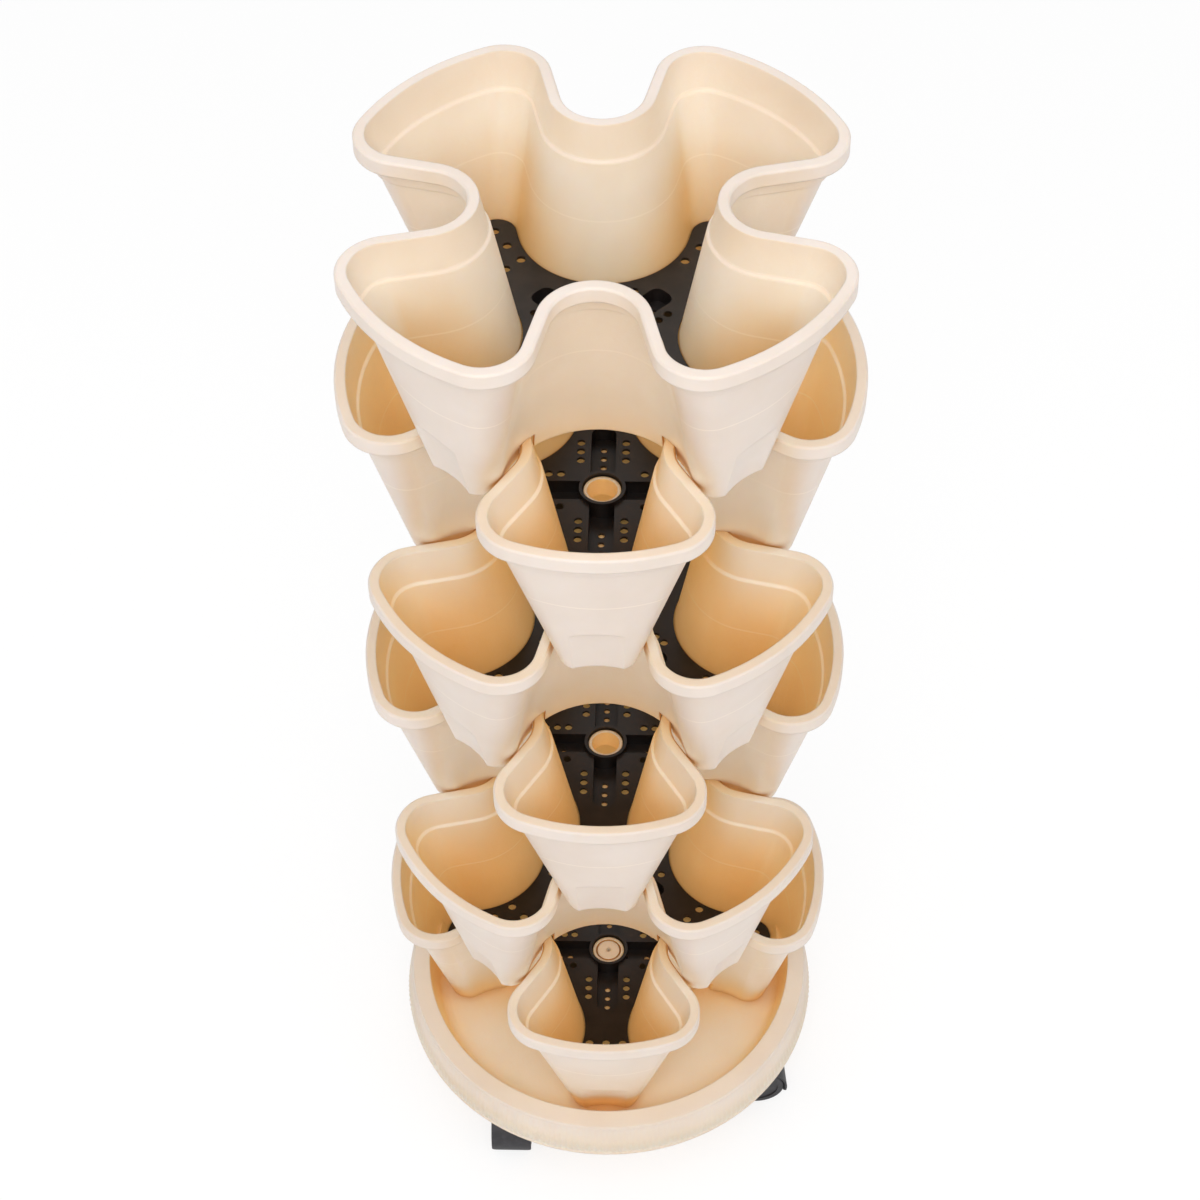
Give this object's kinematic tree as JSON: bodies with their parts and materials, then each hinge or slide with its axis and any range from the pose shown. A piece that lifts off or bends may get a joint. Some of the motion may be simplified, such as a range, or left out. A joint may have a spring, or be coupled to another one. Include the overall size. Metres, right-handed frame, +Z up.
{
  "type": "vertical planter tower",
  "caption": "Stack of four-lobed planting pots with drain plates, each turned half a lobe from the next, on a round tray with swivel casters.",
  "frame": {"origin": "on the floor, under the middle of the tower", "axes": "+Z up; a lobe of the lowest pot points along -Y, towards the viewer of the picture, and +X is to that viewer's right"},
  "size_m": [0.3346, 0.3346, 0.864],
  "materials": {
    "cream_plastic": "moulded polypropylene, satin, slightly translucent",
    "dark_plastic": "moulded, very dark brown",
    "caster_plastic": "moulded nylon, dark grey",
    "steel": "zinc plated"
  },
  "bodies": {
    "base": {"base_tray": "cream_plastic", "caster_1_stem": "steel", "caster_2_stem": "steel", "caster_3_stem": "steel", "caster_4_stem": "steel"},
    "tier_6": {"planter_tier_6": "cream_plastic"},
    "tier_5": {"planter_tier_5": "cream_plastic"},
    "tier_4": {"planter_tier_4": "cream_plastic"},
    "tier_3": {"planter_tier_3": "cream_plastic"},
    "tier_2": {"planter_tier_2": "cream_plastic"},
    "tier_1": {"planter_tier_1": "cream_plastic"},
    "plate_6": {"drain_plate_6": "dark_plastic"},
    "plate_5": {"drain_plate_5": "dark_plastic"},
    "plate_4": {"drain_plate_4": "dark_plastic"},
    "plate_3": {"drain_plate_3": "dark_plastic"},
    "plate_2": {"drain_plate_2": "dark_plastic"},
    "plate_1": {"drain_plate_1": "dark_plastic"},
    "swivel_1": {"caster_1_hood": "caster_plastic", "caster_1_axle": "steel"},
    "left_wheel_1": {"caster_1_left_wheel": "caster_plastic"},
    "right_wheel_1": {"caster_1_right_wheel": "caster_plastic"},
    "swivel_2": {"caster_2_hood": "caster_plastic", "caster_2_axle": "steel"},
    "left_wheel_2": {"caster_2_left_wheel": "caster_plastic"},
    "right_wheel_2": {"caster_2_right_wheel": "caster_plastic"},
    "swivel_3": {"caster_3_hood": "caster_plastic", "caster_3_axle": "steel"},
    "left_wheel_3": {"caster_3_left_wheel": "caster_plastic"},
    "right_wheel_3": {"caster_3_right_wheel": "caster_plastic"},
    "swivel_4": {"caster_4_hood": "caster_plastic", "caster_4_axle": "steel"},
    "left_wheel_4": {"caster_4_left_wheel": "caster_plastic"},
    "right_wheel_4": {"caster_4_right_wheel": "caster_plastic"}
  },
  "joints": [
    {"name": "tier_6_lift", "type": "slide", "parent": "base", "child": "tier_6", "axis": [0, 0, 1], "range_m": [0, 0.06]},
    {"name": "tier_5_lift", "type": "slide", "parent": "tier_6", "child": "tier_5", "axis": [0, 0, 1], "range_m": [0, 0.06]},
    {"name": "tier_4_lift", "type": "slide", "parent": "tier_5", "child": "tier_4", "axis": [0, 0, 1], "range_m": [0, 0.06]},
    {"name": "tier_3_lift", "type": "slide", "parent": "tier_4", "child": "tier_3", "axis": [0, 0, 1], "range_m": [0, 0.06]},
    {"name": "tier_2_lift", "type": "slide", "parent": "tier_3", "child": "tier_2", "axis": [0, 0, 1], "range_m": [0, 0.06]},
    {"name": "tier_1_lift", "type": "slide", "parent": "tier_2", "child": "tier_1", "axis": [0, 0, 1], "range_m": [0, 0.06]},
    {"name": "plate_6_lift", "type": "slide", "parent": "tier_6", "child": "plate_6", "axis": [0, 0, 1], "range_m": [0, 0.09]},
    {"name": "plate_5_lift", "type": "slide", "parent": "tier_5", "child": "plate_5", "axis": [0, 0, 1], "range_m": [0, 0.09]},
    {"name": "plate_4_lift", "type": "slide", "parent": "tier_4", "child": "plate_4", "axis": [0, 0, 1], "range_m": [0, 0.09]},
    {"name": "plate_3_lift", "type": "slide", "parent": "tier_3", "child": "plate_3", "axis": [0, 0, 1], "range_m": [0, 0.09]},
    {"name": "plate_2_lift", "type": "slide", "parent": "tier_2", "child": "plate_2", "axis": [0, 0, 1], "range_m": [0, 0.09]},
    {"name": "plate_1_lift", "type": "slide", "parent": "tier_1", "child": "plate_1", "axis": [0, 0, 1], "range_m": [0, 0.09]},
    {"name": "caster_1_swivel", "type": "hinge", "parent": "base", "child": "swivel_1", "pos_m": [0.10074, -0.074, 0.03], "axis": [0, 0, 1], "continuous": true},
    {"name": "caster_1_left_roll", "type": "hinge", "parent": "swivel_1", "child": "left_wheel_1", "pos_m": [0.12063, -0.07191, 0.02], "axis": [-0.1045, 0.9945, 0], "continuous": true},
    {"name": "caster_1_right_roll", "type": "hinge", "parent": "swivel_1", "child": "right_wheel_1", "pos_m": [0.12063, -0.07191, 0.02], "axis": [-0.1045, 0.9945, 0], "continuous": true},
    {"name": "caster_2_swivel", "type": "hinge", "parent": "base", "child": "swivel_2", "pos_m": [0.074, 0.10074, 0.03], "axis": [0, 0, 1], "continuous": true},
    {"name": "caster_2_left_roll", "type": "hinge", "parent": "swivel_2", "child": "left_wheel_2", "pos_m": [0.06169, 0.1165, 0.02], "axis": [-0.788, -0.6157, 0], "continuous": true},
    {"name": "caster_2_right_roll", "type": "hinge", "parent": "swivel_2", "child": "right_wheel_2", "pos_m": [0.06169, 0.1165, 0.02], "axis": [-0.788, -0.6157, 0], "continuous": true},
    {"name": "caster_3_swivel", "type": "hinge", "parent": "base", "child": "swivel_3", "pos_m": [-0.10074, 0.074, 0.03], "axis": [0, 0, 1], "continuous": true},
    {"name": "caster_3_left_roll", "type": "hinge", "parent": "swivel_3", "child": "left_wheel_3", "pos_m": [-0.11806, 0.064, 0.02], "axis": [0.5, -0.866, 0], "continuous": true},
    {"name": "caster_3_right_roll", "type": "hinge", "parent": "swivel_3", "child": "right_wheel_3", "pos_m": [-0.11806, 0.064, 0.02], "axis": [0.5, -0.866, 0], "continuous": true},
    {"name": "caster_4_swivel", "type": "hinge", "parent": "base", "child": "swivel_4", "pos_m": [-0.074, -0.10074, 0.03], "axis": [0, 0, 1], "continuous": true},
    {"name": "caster_4_left_roll", "type": "hinge", "parent": "swivel_4", "child": "left_wheel_4", "pos_m": [-0.074, -0.12074, 0.02], "axis": [1, 0, 0], "continuous": true},
    {"name": "caster_4_right_roll", "type": "hinge", "parent": "swivel_4", "child": "right_wheel_4", "pos_m": [-0.074, -0.12074, 0.02], "axis": [1, 0, 0], "continuous": true}
  ]
}
